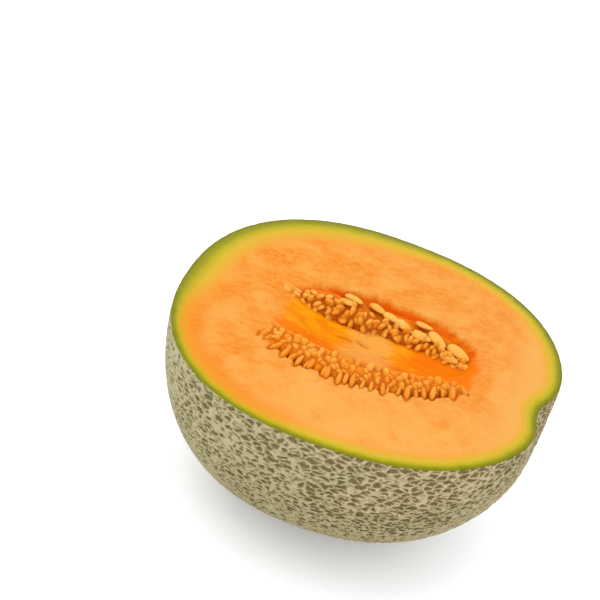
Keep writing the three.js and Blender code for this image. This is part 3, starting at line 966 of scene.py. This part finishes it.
def seed_material():
    """Wet seeds in their own tones, with stains of pulp."""
    material, tree, shader = new_material("wet_seeds", roughness=0.4, specular=0.12)
    stains = ranged(tree, noise_at(tree, in_millimetres(tree), PATTERN["stains"], 3.0, 0.6), 0.45, 0.75)
    shade = colour_steps(tree, attribute(tree, "tone"), SEED_TONES)
    shade = blend_colours(tree, maths(tree, "MULTIPLY", stains, 0.5), shade, SEED_STAIN)
    tree.links.new(shade, shader.inputs["Base Color"])
    soften(shader, 0.1, 1.2)
    tree.links.new(bumped(tree, stains, 0.2, 0.2), shader.inputs["Normal"])
    return material


def strand_material(name, ground, patch, gap_shade):
    """Wet pulp with patches, and a painted shade in the gaps round the seeds."""
    material, tree, shader = new_material(name, roughness=0.4, specular=0.05)
    patches = ranged(tree, noise_at(tree, in_millimetres(tree), PATTERN["pulp"], 3.0, 0.6), 0.4, 0.65)
    pulp = blend_colours(tree, maths(tree, "MULTIPLY", patches, 0.7), ground, patch)
    # Painted shade in the gaps round the seeds.
    shade = blend_colours(tree, attribute(tree, "socket"), pulp, gap_shade)
    tree.links.new(shade, shader.inputs["Base Color"])
    soften(shader, 0.1, 1.5)
    tree.links.new(bumped(tree, patches, 0.4, 0.4), shader.inputs["Normal"])
    return material


def floor_material():
    """A pale table that glows a little."""
    material, tree, shader = new_material("pale_floor", roughness=0.9, specular=0.1)
    place = add_node(tree, "ShaderNodeTexCoord").outputs["Object"]
    shade = blend_colours(tree, noise_at(tree, place, FLOOR_GRAIN), *FLOOR_SHADES)
    tree.links.new(shade, shader.inputs["Base Color"])
    shader.inputs["Emission Color"].default_value = (1, 1, 1, 1)
    shader.inputs["Emission Strength"].default_value = FLOOR_GLOW
    return material


# Floor, lights and camera


def build_floor():
    """The table that the melon lies on."""
    bpy.ops.mesh.primitive_plane_add(size=FLOOR_SIZE, location=(0, 0, 0))
    floor = bpy.context.object
    floor.name = "floor"
    floor.data.materials.append(floor_material())


def area_light(name, place, size, power):
    """A round light that points at the melon."""
    data = bpy.data.lights.new(name, "AREA")
    data.shape = "DISK"
    data.size = size
    data.energy = power
    light = bpy.data.objects.new(name, data)
    light.location = place
    light.rotation_euler = (Vector(LIGHT_TARGET) - Vector(place)).to_track_quat("-Z", "Y").to_euler()
    bpy.context.collection.objects.link(light)


def build_sky():
    """Even light from all round."""
    world = bpy.data.worlds.new("studio")
    bpy.context.scene.world = world
    world.use_nodes = True
    backdrop = world.node_tree.nodes["Background"]
    backdrop.inputs["Color"].default_value = SKY["colour"]
    backdrop.inputs["Strength"].default_value = SKY["strength"]


def build_camera():
    """A camera that looks from the front, turned and rolled about the melon's middle."""
    a, e, roll = (math.radians(CAMERA[k]) for k in ("azimuth", "elevation", "roll"))
    back = Vector((math.sin(a) * math.cos(e), -math.cos(a) * math.cos(e), math.sin(e)))
    level = Vector((math.cos(a), math.sin(a), 0))
    upright = back.cross(level)
    right = level * math.cos(roll) + upright * math.sin(roll)
    up = upright * math.cos(roll) - level * math.sin(roll)
    aim = Vector((0, 0, CUT_HEIGHT)) + right * CAMERA_AIM[0] + up * CAMERA_AIM[1]
    data = bpy.data.cameras.new("camera")
    data.sensor_width = SENSOR_WIDTH
    data.lens = CAMERA["focal_pixels"] / PHOTO_WIDTH * SENSOR_WIDTH
    camera = bpy.data.objects.new("camera", data)
    turned = Matrix((right, up, back)).transposed().to_4x4()
    camera.matrix_world = Matrix.Translation((aim + back * CAMERA["distance"]) * MM) @ turned
    bpy.context.collection.objects.link(camera)
    bpy.context.scene.camera = camera
    bpy.context.scene.view_settings.view_transform = "Standard"


# The scene


def dress(piece, node):
    """Let a piece stand for a node of the solid part."""
    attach(piece, "root")
    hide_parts(node)


def build_lobe(side, lobe, pulp_colours, cut_seeds, seed_look):
    """A lobe's seeds and the strand that holds them."""
    draw = random_from(lobe["seed"])
    standing = [pose for row in lobe["rows"] for pose in row_of_seeds(lobe, row, draw)]
    buried = [pose for row in lobe["buried"] for pose in row_of_seeds(lobe, row, draw)]
    lying = lying_seeds(lobe)
    pulp = strand_material(f"pulp_{side}", **pulp_colours)
    groups = [(standing + buried, lobe["tones"]), (lying, LYING_TONES), (cut_seeds, CUT_SEEDS["tones"])]
    poses = standing + buried + lying + cut_seeds
    seeds = build_seeds(f"seeds_{side}", lobe["seed"] + SHAPE_DRAW, groups, seed_look)
    strand = build_strand(f"strand_{side}", lobe, poses, pulp)
    for piece in (seeds, strand):
        dress(piece, f"seed_lobe_{side}")


cut_seeds = cut_seed_poses(FRONT_LOBE)
melon = build_melon(rind_material(), flesh_material(), cut_seeds)
dress(melon, "melon_half")
seed_look = seed_material()
build_lobe("back", BACK_LOBE, PULP_BACK, [], seed_look)
build_lobe("front", FRONT_LOBE, PULP_FRONT, cut_seeds, seed_look)

build_floor()
build_sky()
for name, light in LIGHTS.items():
    area_light(name, **light)
build_camera()

bpy.context.view_layer.update()
